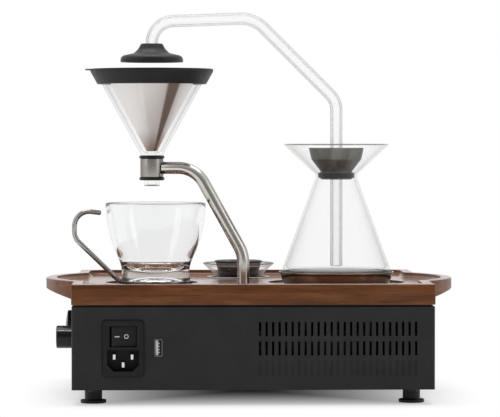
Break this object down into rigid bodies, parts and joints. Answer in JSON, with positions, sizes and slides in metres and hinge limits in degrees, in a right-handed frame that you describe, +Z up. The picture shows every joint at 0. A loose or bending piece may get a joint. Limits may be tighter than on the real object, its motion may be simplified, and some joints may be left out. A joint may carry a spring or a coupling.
{
  "type": "alarm clock coffee maker",
  "caption": "Bedside coffee maker with clock: dark housing under a walnut tray with a boiling jug and bent glass pipe, a drip cone on a steel arm, a glass cup and a cooled milk jug",
  "frame": {"origin": "on the floor, under the middle of the whole object", "axes": "+Z up, -Y out of the back with the mains inlet, +Y out of the front with the clock, +X to the side of the jug"},
  "size_m": [0.334, 0.268, 0.3119],
  "materials": {
    "body_black": "matte powder coat",
    "black_plastic": "matte",
    "walnut": "satin varnish",
    "black_rubber": "matte",
    "gloss_black": "gloss",
    "clear_glass": "clear",
    "brushed_steel": "brushed",
    "polished_steel": "polished",
    "dark_steel": "satin",
    "filter_steel": "fine mesh",
    "black_glass": "gloss",
    "dark_lens": "gloss",
    "figure_white": "lit",
    "white_plastic": "matte",
    "tile_white": "matte",
    "copper": "wound wire",
    "board_green": "satin",
    "parts_dark": "satin",
    "bare_aluminium": "matte"
  },
  "bodies": {
    "base": {"bottom_plate": "body_black", "housing": "body_black", "front_panel": "body_black", "case_screws": "body_black", "deck_plate": "black_plastic", "inlet_body": "black_plastic", "button_switch": "black_plastic", "fan_frame": "black_plastic", "speaker": "black_plastic", "tray": "walnut", "feet": "black_rubber", "ring_grommet": "black_rubber", "arm_tube": "brushed_steel", "arm_ring": "brushed_steel", "drawer_runners": "brushed_steel", "milk_well": "brushed_steel", "foot_screws": "brushed_steel", "tray_screws": "brushed_steel", "arm_nut": "brushed_steel", "inlet_pins": "polished_steel", "usb_shell": "dark_steel", "heater_plate": "black_glass", "display_lens": "dark_lens", "clock_figures": "figure_white", "usb_tongue": "white_plastic", "coil_former": "white_plastic", "cooling_tile": "tile_white", "induction_coil": "copper", "usb_board": "board_green", "power_board": "board_green", "control_board": "board_green", "display_board": "board_green", "board_parts": "parts_dark", "heat_sink": "bare_aluminium", "cold_block": "bare_aluminium", "cooler_sink": "bare_aluminium", "knob_encoder": "bare_aluminium"},
    "rocker_switch": {"rocker": "black_plastic"},
    "knob": {"side_knob": "gloss_black", "knob_shaft": "brushed_steel"},
    "button": {"side_button": "gloss_black"},
    "jug": {"jug_glass": "clear_glass", "jug_base": "polished_steel", "jug_seal": "black_rubber"},
    "stopper": {"stopper_bowl": "dark_steel", "stopper_seal": "black_rubber", "tube_seal": "black_rubber"},
    "siphon": {"pipe": "clear_glass", "pipe_cap": "black_rubber"},
    "dripper": {"dripper_glass": "clear_glass", "dripper_collar": "black_rubber", "mesh_filter": "filter_steel"},
    "cup": {"cup_glass": "clear_glass", "cup_handle": "polished_steel"},
    "milk_jug": {"milk_glass": "clear_glass"},
    "milk_lid": {"milk_stopper": "dark_steel", "milk_seal": "black_rubber"},
    "drawer": {"drawer_box": "black_plastic", "drawer_front": "body_black"},
    "fan": {"fan_rotor": "black_plastic"}
  },
  "joints": [
    {"name": "rocker_tilt", "type": "hinge", "parent": "base", "child": "rocker_switch", "pos_m": [-0.10195, -0.1286, 0.0539], "axis": [0, 0, 1], "range_deg": [-18, 0]},
    {"name": "knob_turn", "type": "hinge", "parent": "base", "child": "knob", "pos_m": [-0.14225, -0.068, 0.0496], "axis": [-1, 0, 0], "continuous": true},
    {"name": "button_press", "type": "slide", "parent": "base", "child": "button", "axis": [1, 0, 0], "range_m": [0, 0.002], "stiffness_N_per_m": 600},
    {"name": "jug_lift", "type": "slide", "parent": "base", "child": "jug", "axis": [0, 0, 1], "range_m": [0, 0.08]},
    {"name": "stopper_lift", "type": "slide", "parent": "jug", "child": "stopper", "axis": [0, 0, 1], "range_m": [0, 0.13]},
    {"name": "pipe_swivel", "type": "hinge", "parent": "stopper", "child": "siphon", "pos_m": [0.0715, -0.012, 0.18], "axis": [0, 0, 1], "continuous": true},
    {"name": "dripper_turn", "type": "hinge", "parent": "base", "child": "dripper", "pos_m": [-0.08, -0.012, 0.1846], "axis": [0, 0, 1], "continuous": true},
    {"name": "cup_takeaway", "type": "slide", "parent": "base", "child": "cup", "axis": [-0.9781, 0, 0.2079], "range_m": [0, 0.143]},
    {"name": "milk_lift", "type": "slide", "parent": "base", "child": "milk_jug", "axis": [0, 0, 1], "range_m": [0, 0.07]},
    {"name": "milk_lid_lift", "type": "slide", "parent": "milk_jug", "child": "milk_lid", "axis": [0, 0, 1], "range_m": [0, 0.03]},
    {"name": "drawer_slide", "type": "slide", "parent": "base", "child": "drawer", "axis": [0, 1, 0], "range_m": [0, 0.09]},
    {"name": "fan_spin", "type": "hinge", "parent": "base", "child": "fan", "pos_m": [0.06617, -0.113, 0.0435], "axis": [0, 1, 0], "continuous": true}
  ]
}
